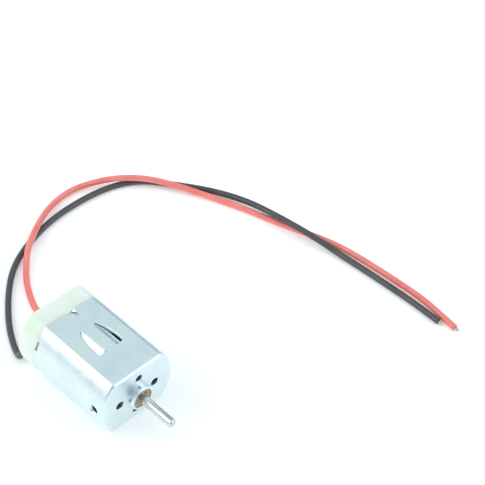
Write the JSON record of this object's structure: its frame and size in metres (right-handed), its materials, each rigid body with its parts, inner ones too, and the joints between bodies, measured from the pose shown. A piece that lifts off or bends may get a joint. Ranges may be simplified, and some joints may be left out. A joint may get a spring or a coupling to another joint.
{
  "type": "electric motor",
  "caption": "Small brushed DC motor with a flat-sided steel can, milky end bell, thin plain shaft and a red and a black lead with bare ends.",
  "frame": {"origin": "on the shaft axis, in the flat front face of the can, at the centre of the two front holes", "axes": "-Y along the output shaft, out of the front face; +X through the right-hand front hole; +Z out of the flat side with the two louvres; the motor rests on its lower flat"},
  "size_m": [0.083, 0.0932, 0.0152],
  "materials": {
    "plated_steel": "bright zinc plate, drawn sheet",
    "bronze_bush": "oil-filled sintered bronze",
    "ferrite": "pressed ferrite",
    "spring_steel": "drawn spring wire",
    "natural_nylon": "milky unpigmented nylon",
    "brass_terminal": "stamped brass",
    "phosphor_bronze": "thin rolled strip",
    "solder": "bright solder",
    "ground_steel": "ground shaft",
    "silicon_steel": "stamped sheet edges",
    "insulation_fibre": "pressed insulating fibre",
    "moulded_phenolic": "moulded phenolic",
    "washer_nylon": "natural nylon",
    "black_pvc": "semi-matt insulation",
    "red_pvc": "semi-matt insulation",
    "tinned_copper": "tinned strands",
    "enamelled_copper": "enamelled winding wire",
    "copper": "polished copper"
  },
  "bodies": {
    "housing": {"can": "plated_steel", "front_bush": "bronze_bush", "magnet_left": "ferrite", "magnet_right": "ferrite", "magnet_clip": "spring_steel", "end_bell": "natural_nylon", "rear_bush": "bronze_bush", "terminal_left": "brass_terminal", "terminal_right": "brass_terminal", "brush_left": "phosphor_bronze", "brush_right": "phosphor_bronze", "solder_left": "solder", "solder_right": "solder", "black_lead": "black_pvc", "black_core_near": "tinned_copper", "black_core_tip": "tinned_copper", "red_lead": "red_pvc", "red_core_near": "tinned_copper", "red_core_tip": "tinned_copper"},
    "thrust_washers": {"thrust_washer_front": "washer_nylon", "thrust_washer_rear": "washer_nylon"},
    "rotor": {"shaft": "ground_steel", "laminations": "silicon_steel", "insulator_front": "insulation_fibre", "insulator_rear": "insulation_fibre", "shaft_collar": "insulation_fibre", "rear_spacer": "insulation_fibre", "commutator_hub": "moulded_phenolic", "commutator_ring": "insulation_fibre", "coil_a": "enamelled_copper", "commutator_segment_a": "copper", "coil_b": "enamelled_copper", "commutator_segment_b": "copper", "coil_c": "enamelled_copper", "commutator_segment_c": "copper"}
  },
  "joints": [
    {"name": "end_play", "type": "slide", "parent": "housing", "child": "thrust_washers", "axis": [0, -1, 0], "range_m": [-0.0002, 0.0002]},
    {"name": "rotor_spin", "type": "hinge", "parent": "thrust_washers", "child": "rotor", "pos_m": [0, 0, 0], "axis": [0, -1, 0], "continuous": true}
  ]
}
